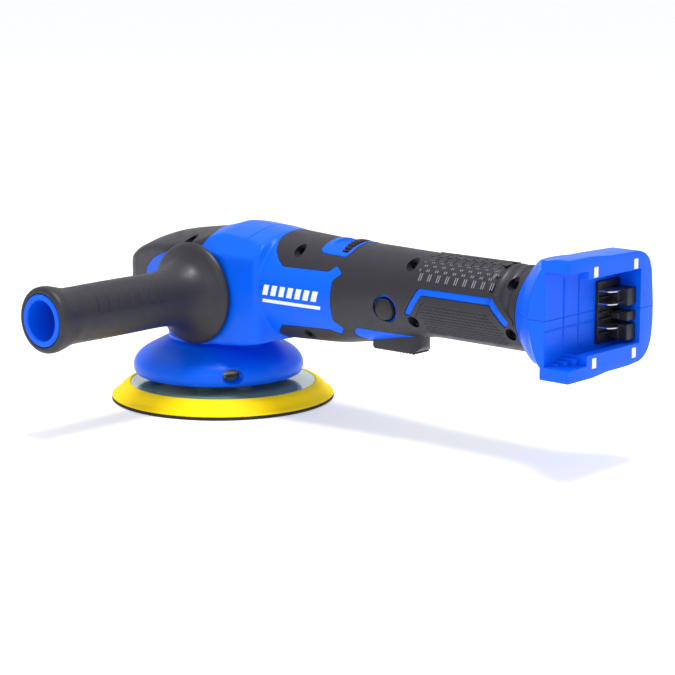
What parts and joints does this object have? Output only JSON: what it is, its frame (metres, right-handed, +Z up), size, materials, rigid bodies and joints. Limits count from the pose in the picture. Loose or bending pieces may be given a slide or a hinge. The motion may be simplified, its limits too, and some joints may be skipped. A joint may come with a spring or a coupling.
{
  "type": "dual action polisher",
  "caption": "Battery-powered dual action polisher: gear head with side handle and round hook-faced pad on an eccentric spindle, barrel grip and an empty battery receptacle.",
  "frame": {"origin": "on the drive spindle's axis, at the level of the pad's hook face", "axes": "+X from the gear head to the battery receptacle, -Y to the side with the side handle, +Z up, away from the pad"},
  "size_m": [0.389, 0.2437, 0.131],
  "materials": {
    "blue_shell": "satin moulded plastic",
    "black_cover": "soft-touch rubber",
    "black_plastic": "fine moulded texture",
    "gear_case_alloy": "die cast",
    "steel": "ground",
    "gear_steel": "hardened, oiled",
    "bearing_steel": "ground, with dark seals",
    "iron_weight": "phosphated",
    "laminations": "stacked sheet",
    "copper": "enamelled winding",
    "green_board": "solder mask and potting",
    "disc_resin": "glossy glass-fibre laminate",
    "yellow_foam": "smooth moulded foam",
    "hook_fabric": "hook loop fastener",
    "felt": "pressed felt",
    "lead_red": "wire insulation",
    "lead_black": "wire insulation"
  },
  "bodies": {
    "tool": {"housing_left": "blue_shell", "housing_right": "blue_shell", "overmould_left": "black_cover", "overmould_right": "black_cover", "palm_grip": "black_cover", "gear_case": "gear_case_alloy", "shroud": "blue_shell", "shroud_screws": "steel", "spindle_top_bearing": "bearing_steel", "spindle_lower_bearing": "bearing_steel", "pinion_bearing": "bearing_steel", "motor_rear_bearing": "bearing_steel", "motor_end_plate": "black_plastic", "stator_core": "laminations", "stator_windings": "copper", "controller_board": "green_board", "trigger_switch": "black_plastic", "trigger_pin": "steel", "dial_bezel": "blue_shell", "dial_potentiometer": "green_board", "receptacle_upper": "blue_shell", "receptacle_lower": "blue_shell", "terminal_block": "black_plastic", "contact_blades": "steel", "felt_pads": "felt", "battery_leads": "lead_red", "motor_leads": "lead_black", "housing_screws": "steel", "handle_guard": "black_cover", "handle_grip": "black_cover", "handle_sleeve": "blue_shell", "handle_stud": "steel"},
    "drive_spindle": {"spindle": "gear_steel", "bevel_gear": "gear_steel", "eccentric_hub": "gear_steel", "counterweight": "iron_weight", "counterweight_screws": "steel", "pad_bearings": "bearing_steel"},
    "pad": {"pad_arbor": "steel", "backing_disc": "disc_resin", "foam_ring": "yellow_foam", "hook_face": "hook_fabric", "pad_bolt": "steel"},
    "motor_rotor": {"rotor_shaft": "steel", "bevel_pinion": "gear_steel", "rotor_core": "laminations", "cooling_fan": "black_plastic"},
    "trigger_lever": {"trigger": "black_plastic", "trigger_spring": "steel"},
    "lock_on_button": {"lock_button": "black_plastic", "lock_spring": "steel"},
    "speed_wheel": {"speed_dial": "black_plastic", "dial_shaft": "steel"}
  },
  "joints": [
    {"name": "spindle_spin", "type": "hinge", "parent": "tool", "child": "drive_spindle", "pos_m": [0, 0, 0.05], "axis": [0, 0, 1], "continuous": true},
    {"name": "pad_spin", "type": "hinge", "parent": "drive_spindle", "child": "pad", "pos_m": [0.004, 0, 0.03], "axis": [0, 0, 1], "continuous": true},
    {"name": "rotor_spin", "type": "hinge", "parent": "tool", "child": "motor_rotor", "pos_m": [0.085, 0, 0.085], "axis": [1, 0, 0], "continuous": true},
    {"name": "trigger_squeeze", "type": "hinge", "parent": "tool", "child": "trigger_lever", "pos_m": [0.152, 0, 0.065], "axis": [0, -1, 0], "range_deg": [0, 7], "stiffness_Nm_per_rad": 0.8, "springref_deg": -4.58, "deforming": ["trigger_spring"]},
    {"name": "lock_button_press", "type": "slide", "parent": "tool", "child": "lock_on_button", "axis": [0, 1, 0], "range_m": [0, 0.0025], "stiffness_N_per_m": 400, "springref_m": -0.001, "deforming": ["lock_spring"]},
    {"name": "speed_dial_turn", "type": "hinge", "parent": "tool", "child": "speed_wheel", "pos_m": [0.127, 0, 0.0973], "axis": [1, 0, 0], "range_deg": [-135, 135]}
  ],
  "couplings": [
    {"joint": "rotor_spin", "follows": "spindle_spin", "ratio": 3}
  ]
}
